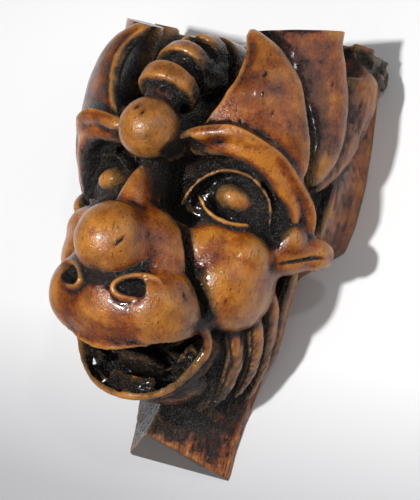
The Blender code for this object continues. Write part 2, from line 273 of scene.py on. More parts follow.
# Leaves. Three sweep up and back from each brow: the ear in front with a thin rim on
# its inner edge, a broad one behind it, and a narrow one on the side of the block.
ear = [(27.4, -51.2, 94, 17.5, 6), (29, -52.3, 101, 18, 5.5), (30.4, -54.2, 108, 16.4, 5),
       (31, -55.6, 115, 13.6, 4.4), (30.7, -56.1, 121, 11.4, 4), (29.3, -56.6, 126, 9.2, 3.8),
       (27, -56.6, 131, 6.6, 3.4), (23.3, -56.2, 135.5, 3.8, 2.8), (18.5, -54.8, 140.3, 1.4, 1.8)]
add_limb(forms, ear, (0.62, -0.78, 0.0), sides=BOTH, blunt=14, around=32, along=60)
second = [(41, -34, 97, 4, 5), (40, -33, 110, 8, 6), (37, -34, 121, 11, 6),
          (33, -36.5, 131, 13, 6), (29.5, -39.5, 140, 14, 5.5), (28.5, -41, 147, 14.5, 5.5),
          (28, -42, 156, 14.5, 5.5)]
add_limb(forms, second, (0.62, -0.78, 0.0), blunt=16, along=50)
add_limb(forms, [(-x - (z - 97) * 0.06, y, 97 + (z - 97) * 0.93, w * 0.92, t)
                 for x, y, z, w, t in second], (-0.62, -0.78, 0.0), blunt=16, along=50)
third = [(40, -29, 96, 3, 5), (41, -23, 110, 6, 6), (41, -20, 122, 8, 6),
         (40.5, -18, 133, 9, 6), (38, -19, 144, 8, 5), (37, -19, 154, 8, 5)]
add_limb(forms, third, (0.9, -0.42, 0.0), sides=(-1,), blunt=12, along=40)
third[3:] = [(41.5, -18, 131, 8.5, 6), (41.5, -16, 137, 6.5, 5.5), (40, -17, 143.5, 2.5, 3)]
add_limb(forms, third, (0.9, -0.42, 0.0), blunt=6, along=40)
# Lumps of the broken corner behind the third leaf on the right. Place, side, turn.
for x, y, z, side, turn in ((34, -12, 144, 11.6, 20), (35.5, -6, 142, 10, 50),
                            (40.5, -13, 143.5, 7.2, 15), (41, -9.5, 139.5, 8, 50),
                            (38.5, -7, 146, 8.8, 75), (41, -5, 142.5, 7.2, 10),
                            (38, -13.5, 147, 8, 35)):
    add_cube(forms, (x, y, z), side, turn, (0.3, 0.2, 1.0))

# Beard. Pointed locks hang from the cheek and jaw down to the stem on each side, and
# hair lines are cut along them later.
locks = [[(24, -37, 50, 5, 4), (26, -31, 40, 4.5, 3.6), (22.5, -25, 30, 3.5, 3),
          (16, -19, 21, 1.5, 1.5)],
         [(30, -32, 56, 4, 4), (29.5, -25, 44, 4, 3.5), (26.5, -19, 35, 3, 2.5),
          (21.5, -14, 27, 1.5, 1.5)],
         [(33, -27, 63, 3.5, 4), (30, -19, 50, 4, 3.5), (27, -12, 39, 3.2, 3),
          (22.5, -7, 27, 1.5, 1.5)],
         [(36, -22, 73, 3.5, 4), (30.5, -14, 60, 3.5, 3.5), (27.5, -8, 46, 3, 3),
          (24, -5, 34, 1.5, 1.5)],
         [(18, -34, 40, 4, 4), (20, -27, 30, 4, 3), (14, -21, 20, 2, 2)]]
for lock in locks:
    add_limb(forms, lock, (0.7, -0.7, 0.0), sides=BOTH, around=18)

# The carving as one casting. The forms run into each other under one skin, and the
# hollows of eyes, mouth, nostrils and crown are pressed into it.


def settle(obj):
    """Bake an object's modifiers into its mesh."""
    bpy.context.view_layer.update()
    graph = bpy.context.evaluated_depsgraph_get()
    mesh = bpy.data.meshes.new_from_object(obj.evaluated_get(graph))
    obj.modifiers.clear()
    old = obj.data
    obj.data = mesh
    bpy.data.meshes.remove(old)


def skin(obj, cell):
    """Join overlapping forms into one closed skin of even cells."""
    remesh = obj.modifiers.new("Skin", "REMESH")
    remesh.mode = "VOXEL"
    remesh.voxel_size = cell
    settle(obj)


def press(co, centre, radii, push, turn=(0.0, 0.0, 0.0), sides=(1,)):
    """Press an egg-shaped hollow into the skin, along the direction push."""
    for side in sides:
        place = np.array(at(centre[0] * side, centre[1], centre[2]))
        tilt = Matrix.Rotation(math.radians(turn[2] * side), 3, "Z")
        tilt = tilt @ Matrix.Rotation(math.radians(turn[1] * side), 3, "Y")
        tilt = np.array(tilt @ Matrix.Rotation(math.radians(turn[0]), 3, "X"))
        way = np.array((push[0] * side, push[1], push[2]), float)
        way /= np.linalg.norm(way)
        size = np.array(radii) * 0.001
        local = (co - place) @ tilt / size
        step = way @ tilt / size
        a = step @ step
        b = local @ step
        c = (local ** 2).sum(axis=1) - 1
        inside = c < 0
        travel = (-b[inside] + np.sqrt(b[inside] ** 2 - a * c[inside])) / a
        co[inside] += travel[:, None] * way


def neighbours(mesh):
    """The two ends of every edge, and how many edges meet at each point."""
    pairs = np.empty(len(mesh.edges) * 2, int)
    mesh.edges.foreach_get("vertices", pairs)
    degree = np.maximum(np.bincount(pairs, minlength=len(mesh.vertices)), 1)
    return pairs[0::2], pairs[1::2], degree


def averaged(values, ends, times, share=0.5):
    """Values at the points, each mixed with its neighbours a number of times."""
    one, two, degree = ends
    for _ in range(times):
        columns = [np.bincount(one, v[two], len(v)) + np.bincount(two, v[one], len(v))
                   for v in np.atleast_2d(values.T)]
        mean = (np.array(columns) / degree).T.reshape(values.shape)
        values = values + share * (mean - values)
    return values


def soften(mesh, places):
    """Run forms into each other: smooth the skin inside eggs. Each: centre, radii, times."""
    co = points_of(mesh)
    ends = neighbours(mesh)
    for centre, radii, times in places:
        for side in BOTH:
            middle = np.array(at(centre[0] * side, centre[1], centre[2]))
            away = np.linalg.norm((co - middle) / (np.array(radii) * 0.001), axis=1)
            share = 0.5 * np.clip((1 - away) * 3, 0, 1)[:, None]
            co = averaged(co, ends, times, share)
    move_points(mesh, co)


def cut_line(mesh, lines):
    """Cut grooves, or raise beads where the depth is negative, along lines laid on the skin.

    Each line: rows of x, y, z, half width, depth; its sides; how much of its ends tapers.
    """
    co = points_of(mesh)
    tree = BVHTree.FromPolygons([Vector(p) for p in co], [p.vertices[:] for p in mesh.polygons])
    for rows, sides, taper in lines:
        for side in sides:
            line = smooth_rows(rows, 12 * len(rows))
            line[:, 0] *= side
            hits = [tree.find_nearest(at(*row[:3])) for row in line]
            spots = np.array([hit[0] for hit in hits])
            out = np.array([hit[1] for hit in hits])
            out = np.array([out[max(i - 5, 0):i + 6].mean(axis=0) for i in range(len(out))])
            out /= np.linalg.norm(out, axis=1)[:, None]
            share = np.linspace(0, 1, len(line))
            fade = np.clip(np.minimum(share, 1 - share) / max(taper, 1e-6), 0, 1) ** 0.7
            reach = line[:, 3].max() * 0.001
            near = np.where(((co > spots.min(axis=0) - reach)
                             & (co < spots.max(axis=0) + reach)).all(axis=1))[0]
            run = np.diff(spots, axis=0)
            gap = co[near][:, None] - spots[:-1]
            along = np.clip((gap * run).sum(axis=2) / ((run ** 2).sum(axis=1) + 1e-12), 0, 1)
            away = np.linalg.norm(gap - along[..., None] * run, axis=2)
            k = away.argmin(axis=1)
            t = away[np.arange(len(k)), k] / (line[k, 3] * 0.001)
            depth = line[k, 4] * 0.001 * fade[k] * np.clip(1 - t ** 2, 0, 1) ** 1.5
            co[near] -= out[k] * depth[:, None]
    move_points(mesh, co)


corbel_mesh = bpy.data.meshes.new("corbel")
forms.to_mesh(corbel_mesh)
forms.free()
corbel = bpy.data.objects.new("stained_dragon_corbel", corbel_mesh)
bpy.context.scene.collection.objects.link(corbel)
skin(corbel, 0.00075)   # the first, coarser skin
co = points_of(corbel.data)
# Eye hollows and their inner corners; mouth, its corners and the throat; nostrils; and
# the clefts beside the horn.
press(co, (25.5, -60, 89), (15.5, 14.5, 13.2), (-0.2, 1, 0), turn=(0, 0, 30), sides=BOTH)
press(co, (13, -62, 90), (8.5, 14, 11), (-0.1, 1, 0), sides=BOTH)
press(co, (0, -57.5, 26), (21, 9.4, 25), (0, 0.6, 0.8), turn=(-36, 0, 0))
press(co, (16, -54, 37), (7.4, 7.5, 21), (0, 0.6, 0.8), turn=(-30, 0, 0), sides=BOTH)
press(co, (0, -46, 29.5), (18, 15, 8), (0, 1, 0.1), turn=(-8, 0, 0))
press(co, (11.6, -73, 51.2), (3.6, 5.0, 2.2), (0, 1, 0.1), turn=(0, -16, 0), sides=BOTH)
press(co, (13, -52, 131), (5, 14, 17), (0, 1, 0), turn=(-20, 0, 0), sides=BOTH)
move_points(corbel.data, co)
# Creases between the snout and the cheeks.
creases = [([(8, -57, 84, 2.6, 2), (12.5, -59, 75, 2.6, 4), (17.5, -59, 65, 2.6, 5),
             (22.5, -55.5, 55, 2.6, 4.5), (25.5, -50, 48, 2.4, 2.5)], BOTH, 0.1)]
soften(corbel.data, [((10, -66, 66), (13, 14, 13), 80), ((0, -74, 43), (22, 12, 12), 30),
                     ((25, -48, 70), (15, 12, 12), 60), ((20, -53, 69), (8, 8, 9), 50),
                     ((37, -38, 70), (8, 12, 10), 30),
                     ((24, -58, 99), (15, 8, 4), 12), ((34, -50, 96), (10, 12, 7), 30),
                     ((39, -36, 80), (7, 9, 7), 25)])
cut_line(corbel.data, creases)

# Eyes, lids, nostril rims, tongue and teeth. They stand in and round those hollows, cut
# from the same piece, so they are joined to it by a second and finer skin.
CELL = 0.0006           # of the second skin, in metres
fine = bmesh.new()
fine.from_mesh(corbel.data)
# Band under each brow arch, and the bed, ball and lids of the eye.
band = [(9, -55.5, 99.3, 3, 3), (14, -58, 99.8, 3.3, 3), (20, -59.3, 100.8, 3.5, 3.5),
        (26, -57.8, 101, 3.5, 4), (31.5, -53.8, 99.3, 3.5, 4), (36, -47.8, 95.6, 3.5, 4),
        (39, -40.5, 89.8, 3.5, 4), (40.5, -35.5, 83, 3.5, 4)]
add_limb(fine, band, (0.4, -0.8, -0.4), sides=BOTH)
add_ball(fine, (26, -40.5, 86), (13, 6.5, 10), turn=(0, 12, 28), sides=BOTH)
eyeball = (22.9, -46.4, 87), (6.4, 5.6, 4.6)
add_ball(fine, *eyeball, turn=(0, 12, 28), sides=BOTH)
upper_lid = [(8.6, -55.5, 81.5), (12.4, -55.5, 89), (19.4, -53, 94.4), (27.2, -48.2, 94),
             (32.8, -43.8, 88), (34.6, -42.8, 78.5)]
add_limb(fine, [(x, y + 2.5, z, 0.7, 3.4) for x, y, z in upper_lid], (0.4, -0.9, 0), sides=BOTH,
         blunt=12, along=50, around=16)
lower_lid = [(13.5, -55, 85.5), (18.5, -54, 80.3), (25, -50.8, 78.6), (30.5, -47.4, 79.4)]
add_limb(fine, [(x, y + 2, z, 1.0, 3.0) for x, y, z in lower_lid], (0.4, -0.9, 0), sides=BOTH,
         blunt=8, around=16)
# Nostril rims, tongue, worn teeth, and the ridge inside the lower lip.
oval = [(12.2 + 6.3 * math.cos(t), -71.9 + 3.2 * math.cos(t), 51.3 + 3.6 * math.sin(t)
         + 1.5 * math.cos(t), 1.05, 1.7) for t in np.linspace(-0.1, 6.0, 14)]
add_limb(fine, oval, (0.3, -0.95, 0.1), sides=BOTH, blunt=20, around=16, along=60)
add_ball(fine, (0, -37, 30.5), (8.5, 12, 3), turn=(-12, 0, 0))
for x, y, z, turn in ((17.4, -43, 34.2, 20), (18.6, -42, 38, 45), (14.6, -43.5, 30, 70),
                      (21, -42, 36, 10)):
    for side in BOTH:
        add_cube(fine, (x * side, y, z), 3.4, turn, (0.4, side, 0.3))
add_limb(fine, [(-9, -42.5, 25.5, 0.9, 2.2), (0, -43.5, 23.8, 0.9, 2.2),
                (9, -42.5, 25.5, 0.9, 2.2)], (0, 0, 1))
fine.to_mesh(corbel.data)
fine.free()
skin(corbel, CELL)
soften(corbel.data, [((14, -61, 101), (7, 5, 4.5), 14), ((24, -61, 102), (9, 6, 5), 14),
                     ((34, -55, 99.5), (8, 7, 6), 14), ((41, -42, 92), (7, 9, 8), 14),
                     ((12, -73, 48.5), (8, 4, 3), 4)])

# Line carving. Fine beads, rims, seams and hair lines finish the forms, and small nicks
# and scratches are the wear of handling.
strokes = [
    # rims of the ears
    ([(13, -64.5, 102.5, 1.2, -0.5), (18.7, -66, 109.4, 1.2, -0.6), (21.5, -66, 115.9, 1.2, -0.6),
      (23.3, -65, 125, 1.2, -0.6), (21.8, -60, 133.1, 1.1, -0.5), (17.5, -54.5, 140, 1, -0.3)],
     BOTH, 0.1),
    # the inner side of the lower lip
    ([(21, -44, 38, 2.4, 2.5), (16.5, -44.5, 30, 2.6, 3), (9, -45.5, 25, 2.6, 3),
      (0, -46, 23, 2.6, 3), (-9, -45.5, 25, 2.6, 3), (-16.5, -44.5, 30, 2.6, 3),
      (-21, -44, 38, 2.4, 2.5)], (1,), 0.05),
    # beads along both lips
    ([(24.2, -52, 44.6, 0.9, -0.4), (21.5, -57, 43, 0.9, -0.5), (17.5, -61.4, 37.8, 0.9, -0.5),
      (10, -65, 33, 0.9, -0.5), (0, -66, 30.6, 0.9, -0.5), (-10, -65, 33, 0.9, -0.5),
      (-17.5, -61.4, 37.8, 0.9, -0.5), (-21.5, -57, 43, 0.9, -0.4)], (1,), 0.05),
    # crest and underside of the brow arches
    ([(10, -65, 101, 1.1, -0.4), (17, -65.5, 103.5, 1.1, -0.5), (26, -64.5, 105.3, 1.1, -0.6),
      (34.1, -60.5, 103.8, 1.1, -0.6), (39.2, -52, 101, 1.1, -0.6), (42.5, -45, 96, 1.1, -0.6),
      (45, -37, 90, 1.1, -0.6), (44.5, -31, 82.5, 1.1, -0.5)], BOTH, 0.1),
    # seams between the leaves
    ([(44, -42, 106, 1.0, 1.4), (41.7, -45, 115.1, 1.0, 1.6), (39.3, -47, 120.1, 1.0, 1.6),
      (37.3, -48, 124.4, 1.0, 1.6), (34.4, -50, 127.7, 1.0, 1.6), (30.5, -52.5, 132.4, 1.0, 1.6),
      (25.5, -55, 136.5, 0.9, 1.0)], BOTH, 0.08),
    # slit under the flares
    ([(38, -38, 70.5, 0.6, 0.5), (42, -35, 72.5, 0.8, 1.3), (46, -31, 75, 0.8, 1.3),
      (48.5, -28, 76, 0.6, 0.6)], BOTH, 0.15),
    # scratch across the bump of the nose
    ([(7.4, -83, 60.5, 0.5, 0.1), (8.6, -82, 62.6, 0.8, 0.9), (9.8, -81, 65, 0.5, 0.1)],
     (1,), 0.1),
]
# Nicks of a knife point on the ears, horn, snout, cheek and second leaf.
nicks = ((30, -58, 118), (33.5, -56, 113), (29.5, -59, 124), (27, -62, 108), (2.5, -79, 104),
         (-1, -79, 105.5), (35, -56.5, 105.5), (30, -50, 55), (12, -76, 44), (24, -64, 52),
         (40, -35, 130))
for n, (x, y, z) in enumerate(nicks):
    strokes.append(([(x, y, z - 1.2, 0.35, 0.25), (x + 0.2 * (n % 3), y, z, 0.42, 0.4),
                     (x + 0.3, y, z + 1.3, 0.35, 0.2)], (1,), 0.2))
# Hair lines: one along the middle of each lock and one on either side of it.
for lock in locks:
    rows = np.array(lock)
    for shift, wide, deep in ((0.0, 0.7, 0.7), (0.55, 0.6, 0.5), (-0.55, 0.6, 0.5)):
        strokes.append(([(x + shift * w * 0.7, y - t + abs(shift) * 1.2, z, wide, deep)
                         for x, y, z, w, t in rows], BOTH, 0.15))
cut_line(corbel.data, strokes)

# Flat back, top and foot. The back is sawn flat for the wall, the top slants down to the
# front and to the middle, and the stem ends in one slanted cut.
TOP_RISE_OUT = 83.5 / 592.5     # rise of the top for each millimetre from the middle
TOP_RISE_BACK = 163.5 / 592.5   # and for each millimetre nearer to the wall
FOOT_RISE, FOOT_DEPTH = 9, 26   # the foot's front ridge stands higher, and out from the wall
FACES = 170000                  # triangles kept in the finished carving
LONG_EDGE = 0.0022              # longer edges are cut in two, to keep the stain fine
# The top is a slanted plane, a little lower on the left; only what stands above it goes.
co = points_of(corbel.data)
top = (65 + TOP_RISE_OUT * (np.abs(co[:, 0]) * 1000 - 17.5)
       + TOP_RISE_BACK * (co[:, 1] * 1000 + 54.5))
top -= 1.5 * (co[:, 0] < 0)
co[:, 2] = np.minimum(co[:, 2], top * 0.001)
move_points(corbel.data, co)
final = bmesh.new()
final.from_mesh(corbel.data)
slope = math.atan2(FOOT_RISE, FOOT_DEPTH)
for spot, normal in ((at(0, 0, 0), (0, 1, 0)), (at(0, 0, 150), (0, 0, 1)),
                     (at(0, 0, 0), (0, -math.sin(slope), -math.cos(slope)))):
    cut = bmesh.ops.bisect_plane(final, geom=final.verts[:] + final.edges[:] + final.faces[:],
                                 plane_co=spot, plane_no=normal, clear_outer=True)
    rim = [e for e in cut["geom_cut"] if isinstance(e, bmesh.types.BMEdge)]
    bmesh.ops.contextual_create(final, geom=rim)
bmesh.ops.triangulate(final, faces=final.faces[:])
share = FACES / len(final.faces)
final.to_mesh(corbel.data)
final.free()
if share < 1:
    thin = corbel.modifiers.new("Fewer faces", "DECIMATE")
    thin.ratio = share
    settle(corbel)
final = bmesh.new()
final.from_mesh(corbel.data)
bmesh.ops.delete(final, geom=[v for v in final.verts if not v.link_faces], context="VERTS")
for _ in range(3):
    lengthy = [e for e in final.edges if e.calc_length() > LONG_EDGE]
    bmesh.ops.subdivide_edges(final, edges=lengthy, cuts=1)
    bmesh.ops.triangulate(final, faces=[f for f in final.faces if len(f.verts) > 3])
final.to_mesh(corbel.data)
final.free()

# Stain. Black sinks into the hollows and is wiped from the high places, so each point
# of the carving keeps how sheltered it is and how far it stands out.
BOX_MARGIN = 0.0002     # how far inside the solid's box the carving stays, in metres
mesh = corbel.data
low, high = np.array(cad_low) + BOX_MARGIN, np.array(cad_high) - BOX_MARGIN
low[2], high[2], high[1] = cad_low[2], cad_high[2], cad_high[1]
co = np.clip(points_of(mesh), low, high)
count = len(co)
ends = neighbours(mesh)


def egg(centre, radii, sides=BOTH):
    """How far into egg-shaped places each point lies, from 0 outside to 1 well inside."""
    inside = np.zeros(count)
    for side in sides:
        middle = np.array(at(centre[0] * side, centre[1], centre[2]))
        away = np.linalg.norm((co - middle) / (np.array(radii) * 0.001), axis=1)
        near = np.clip((1.3 - away) / 0.5, 0, 1)
        inside = np.maximum(inside, near * near * (3 - 2 * near))
    return inside


def beside(rows, reach, sides=BOTH):
    """How near each point lies to a line, from 0 beyond reach, in millimetres, to 1 on it."""
    close = np.zeros(count)
    for side in sides:
        line = np.array([at(x * side, y, z) for x, y, z in smooth_rows(rows, 20 * len(rows))])
        span = reach * 0.001
        near = np.where(((co > line.min(axis=0) - span)
                         & (co < line.max(axis=0) + span)).all(axis=1))[0]
        away = np.linalg.norm(co[near][:, None] - line, axis=2).min(axis=1) / span
        close[near] = np.maximum(close[near], np.clip((1 - away) * 2, 0, 1))
    return close


def outward(times):
    """The direction out of the skin at each point, evened out a number of times."""
    out = np.empty(count * 3)
    mesh.vertices.foreach_get("normal", out)
    out = averaged(out.reshape(-1, 3), ends, times)
    return out / np.maximum(np.linalg.norm(out, axis=1), 1e-9)[:, None]


move_points(mesh, co)
eyes = egg(eyeball[0], (6.2, 6.5, 4.6))
socket = np.maximum(egg((21, -50, 89), (16, 12, 11.5)), egg((34, -41, 84), (7, 8, 9))) * (1 - eyes)
hollow = np.maximum.reduce([socket, egg((0, -40, 31), (20, 15, 10), (1,)),
                            egg((13, -50, 122), (8, 16, 20))])
mm = co * 1000 + (0, 0, ORIGIN_HEIGHT)
stem = np.clip((33 - mm[:, 2]) / 7, 0, 1) * np.clip((mm[:, 1] + 36) / 6, 0, 1)
beard = egg((24, -22, 40), (14, 18, 18))
side_face = egg((44, -12, 110), (6, 18, 34))
broken = egg((40.5, -8, 143), (7, 10, 9), (1,))
flat = (mm[:, 1] > -0.3) | (np.abs(mm[:, 2] + mm[:, 1] * FOOT_RISE / FOOT_DEPTH) < 0.2)
fibrous = np.maximum.reduce([stem, side_face, beard])

# Small lumps all over, rougher in the hollows, drawn out upright on the stem, the side and
# the beard, and in coarse steps at the broken corner. In millimetres.
swell = np.zeros(count)
for i in range(count):
    p = Vector(co[i]) * 1000
    lump = noise.noise(p / 7.0) * 0.22 + noise.noise(p / 2.6) * 0.07
    if hollow[i] > 0:
        lump += hollow[i] * 0.5 * noise.noise(p / 1.9)
    if fibrous[i] > 0:
        lump += fibrous[i] * 0.38 * noise.noise(Vector((p.x / 0.9, p.y / 0.9, p.z / 7.0)))
    if broken[i] > 0:
        lump += broken[i] * (2.6 * abs(noise.noise(p / 4.5)) + 0.5 * noise.noise(p / 1.5) - 1.0)
    swell[i] = lump
co = np.clip(co + outward(4) * (swell * ~flat * 0.001)[:, None], low, high)
move_points(mesh, co)

# Shelter: the share of a fan of short rays from each point that meets the carving again.
out = outward(3)
tree = BVHTree.FromPolygons([Vector(p) for p in co], [p.vertices[:] for p in mesh.polygons])
RAYS = 14
FAR = 0.030             # reach of the rays, in metres
fan = []
for k in range(RAYS):
    rise = math.sqrt(1 - (k + 0.5) / RAYS * 0.94)
    lean = math.sqrt(1 - rise ** 2)
    turn = k * math.pi * (3 - math.sqrt(5))
    fan.append((math.cos(turn) * lean, math.sin(turn) * lean, rise))
shelter = np.zeros(count)
for i in range(count):
    n = Vector(out[i])
    side_way = n.orthogonal().normalized()
    other = n.cross(side_way)
    start = Vector(co[i]) + n * 0.0004
    total = 0.0
    for a, b, c in fan:
        hit = tree.ray_cast(start, side_way * a + other * b + n * c, FAR)
        if hit[0] is not None:
            total += 1 - 0.6 * hit[3] / FAR
    shelter[i] = total / RAYS
shelter = averaged(shelter, ends, 4)
tall, wide = (((co - averaged(co, ends, times)) * out).sum(axis=1) * 1000 for times in (6, 30))
ridge = np.clip(tall * 5, 0, 1) * 0.6 + np.clip(wide * 1.3, 0, 1) * 0.4
groove = np.clip(-tall * 7 - 0.2, 0, 1) * 0.6 + np.clip(-wide * 1.6 - 0.1, 0, 1) * 0.5
black = 0.31 + np.clip((shelter - 0.08) * 1.9, 0, 1) + groove * 0.7 - ridge * 0.16
tones = [(hollow, 0.62), (eyes, -0.45), (stem, 0.24), (side_face, -0.02), (beard, 0.10),
         (broken, 0.3)]
# More places stained darker, or below 0 wiped lighter, some with painted light as marked: centre,
# radii, sides, amount.
for centre, radii, sides, amount in (
        # cheeks: lighter, partly as wiped stain and partly as a painted highlight where the light
        # falls on them
        ((25, -48, 66), (13, 13, 14), BOTH, -0.27),     # cheeks
        # painted highlight on the right cheek only, where the light falls
        ((19, -54, 68), (7, 8, 9), (1,), -0.18),
        ((25, -55, 57), (3.5, 9, 16), BOTH, 0.35),      # creases beside the snout
        ((11.5, -70, 51), (4.5, 6, 3), BOTH, 0.8),      # nostrils
        ((0, -76, 52), (6, 8, 3), (1,), 0.35),          # dip between the nostrils
        ((0, -42, 33), (9, 9, 4), (1,), -0.55),         # tongue
        ((0, -42, 31), (19, 16, 10), (1,), 0.35),       # mouth
        ((21, -42, 34), (6, 10, 9), BOTH, 0.4),         # teeth
        ((0, -70, 101), (11, 12, 11), BOTH, 0.17),      # ball of the horn
        ((0, -50, 128), (11, 24, 14), (1,), 0.12),      # rings of the horn
        ((24, -58, 122), (12, 10, 14), BOTH, 0.1),      # ears
        # painted shade: the left ear only is darker, as it lies in less light
        ((-28, -56, 118), (16, 14, 24), (1,), 0.08),
        ((32, -56, 107), (9, 9, 9), (1,), -0.14),
        ((36, -34, 128), (10, 14, 26), BOTH, -0.04),    # second leaves
        ((0, -10, 150), (34, 34, 6), BOTH, 0.3),        # top of the block
        ((33, -24, 82), (10, 10, 7), BOTH, 0.6),        # gap above the flares
        ((22, -22, 36), (13, 14, 16), BOTH, 0.28),      # between the locks
        ((0, -22, 24), (20, 14, 10), (1,), 0.36),       # stem under the jaw
        ((-14, -22, 12), (10, 12, 16), (1,), 0.3)):     # stem on the left
    tones.append((egg(centre, radii, sides), amount))
for inside, amount in tones:
    black += inside * amount * (1 - 0.7 * ridge)
black += socket * 0.5 * ridge
black -= 0.35 * beside([(x, y - 3.5, z + 1.5) for x, y, z, _, _ in band[3:]], 4.0)
edge = np.clip(ridge * 1.4 - 0.55, 0, 1) * (1 - 0.9 * hollow) * (1 - 0.7 * stem)
edge *= np.clip(-co[:, 1] / 0.012, 0.15, 1)
# Wiped crests of the lids and of the lip's inner edge: line, reach, sides.
for rows, reach, sides in (
        ([(x + 1.4, y - 0.6, z) for x, y, z in upper_lid], 0.8, (1,)),
        ([(x + 1.2, y - 0.7, z) for x, y, z in lower_lid], 1.1, (1,)),
        ([(-9, -43.5, 27.5), (0, -44.5, 25.8), (9, -43.5, 27.5)], 0.8, (1,))):
    crest = beside(rows, reach, sides)
    black *= 1 - crest
    edge = np.maximum(edge, crest * 0.85)
black = np.clip(black, 0, 1)
fibre = np.maximum.reduce([stem, side_face * 0.5, beard * 0.5])
# The stain mask also carries the painted highlight on the cheeks and the painted shade on the left
# ear.
for name, values in (("stain", black), ("rubbed", edge), ("bare", broken * 0.85),
                     ("fibre", fibre)):
    layer = mesh.attributes.new(name, "FLOAT", "POINT")
    layer.data.foreach_set("value", averaged(values, ends, 1).astype(np.float32))
mesh.shade_smooth()

# Stained resin. A cloudy golden brown under a thin wax, pooled near black and crumbly in
# the hollows, rubbed pale on the edges, with small dark pits and dark fibres on the stem, and pale
# flecks in the hollows that are painted glints.


def build_grain():
    """Node group of the resin's cloudy stain, specks, nicks, crumb and fine flecks for grit and
    painted glints, in cells a metre.
    """
    group = bpy.data.node_groups.new("resin grain", "ShaderNodeTree")
    group.interface.new_socket("Stretch", in_out="INPUT", socket_type="NodeSocketVector")
    group.interface.items_tree["Stretch"].default_value = (1.0, 1.0, 1.0)
    came, went = group.nodes.new("NodeGroupInput"), group.nodes.new("NodeGroupOutput")
    place = group.nodes.new("ShaderNodeTexCoord")
    stretch = group.nodes.new("ShaderNodeVectorMath")
    stretch.operation = "MULTIPLY"
    group.links.new(place.outputs["Object"], stretch.inputs[0])
    group.links.new(came.outputs["Stretch"], stretch.inputs[1])
    for name, scale, detail, rough in (("Cloud", 75, 3, 0.6), ("Patch", 320, 4, 0.65),
                                       ("Speck", 1300, 3, 0.7), ("Crumb", 1250, 2, 0.6),
                                       ("Grit and glint", 2300, 2, 0.6)):
        group.interface.new_socket(name, in_out="OUTPUT", socket_type="NodeSocketFloat")
        cells = group.nodes.new("ShaderNodeTexNoise")
        cells.inputs["Scale"].default_value = scale
        cells.inputs["Detail"].default_value = detail
        cells.inputs["Roughness"].default_value = rough
        group.links.new(stretch.outputs[0], cells.inputs["Vector"])
        group.links.new(cells.outputs["Fac"], went.inputs[name])
    return group


class Shade:
    """A material's nodes, linked by short calls."""

    def __init__(self, name):
        self.material = bpy.data.materials.new(name)
        self.material.use_nodes = True
        self.nodes, self.links = self.material.node_tree.nodes, self.material.node_tree.links
        self.look = self.nodes["Principled BSDF"]

    def feed(self, socket, value):
        if isinstance(value, bpy.types.NodeSocket):
            self.links.new(value, socket)
        else:
            socket.default_value = value

    def mask(self, name):
        node = self.nodes.new("ShaderNodeAttribute")
        node.attribute_name = name
        return node.outputs["Fac"]

    def grain(self, stretch=(1.0, 1.0, 1.0)):
        node = self.nodes.new("ShaderNodeGroup")
        node.node_tree = resin_grain
        node.inputs["Stretch"].default_value = stretch
        return node.outputs

    def maths(self, operation, first, second, clamp=False):
        node = self.nodes.new("ShaderNodeMath")
        node.operation = operation
        node.use_clamp = clamp
        self.feed(node.inputs[0], first)
        self.feed(node.inputs[1], second)
        return node.outputs[0]

    def times(self, first, second, clamp=False):
        return self.maths("MULTIPLY", first, second, clamp)

    def swing(self, value, amount):
        """A noise value turned into a shift either way, of about this amount."""
        return self.times(self.maths("SUBTRACT", value, 0.5), amount)

    def total(self, *values, clamp=False):
        out = values[0]
        for value in values[1:]:
            out = self.maths("ADD", out, value)
        return self.times(out, 1.0, clamp) if clamp else out

    def mix(self, share, first, second):
        """Two colours mixed; the colours are the mix node's seventh and eighth sockets."""
        node = self.nodes.new("ShaderNodeMix")
        node.data_type = "RGBA"
        self.feed(node.inputs[0], share)
        self.feed(node.inputs[6], first)
        self.feed(node.inputs[7], second)
        return node.outputs[2]

    def ramp(self, value, stops):
        node = self.nodes.new("ShaderNodeValToRGB")
        self.feed(node.inputs[0], value)
        elements = node.color_ramp.elements
        elements[0].position, elements[1].position = stops[0][0], stops[-1][0]
        for spot, _ in stops[1:-1]:
            elements.new(spot)
        for element, (spot, colour) in zip(elements, stops):
            element.position = spot
            element.color = (*colour, 1.0)
        return node.outputs[0]

    def bump(self, height, distance, strength=1.0):
        node = self.nodes.new("ShaderNodeBump")
        node.inputs["Strength"].default_value = strength
        node.inputs["Distance"].default_value = distance
        self.feed(node.inputs["Height"], height)
        self.feed(self.look.inputs["Normal"], node.outputs[0])


resin_grain = build_grain()
stain = Shade("Stained corbel")
even, upright = stain.grain(), stain.grain((1.0, 1.0, 0.16))
fibres = stain.times(stain.mask("fibre"), stain.swing(upright["Patch"], 1.3))
depth = stain.total(stain.mask("stain"), stain.swing(even["Cloud"], 0.75),
                    stain.swing(even["Patch"], 0.62), stain.swing(even["Speck"], 0.45), fibres,
                    clamp=True)
colour = stain.ramp(depth, [
    (0.0, (0.45, 0.155, 0.014)), (0.17, (0.27, 0.066, 0.004)), (0.34, (0.140, 0.027, 0.002)),
    (0.50, (0.050, 0.009, 0.002)), (0.66, (0.007, 0.004, 0.002)), (1.0, (0.002, 0.002, 0.002))])
sunk = stain.times(stain.maths("SUBTRACT", depth, 0.42), 3.0, clamp=True)
pits = stain.maths("GREATER_THAN", upright["Speck"], 0.625)
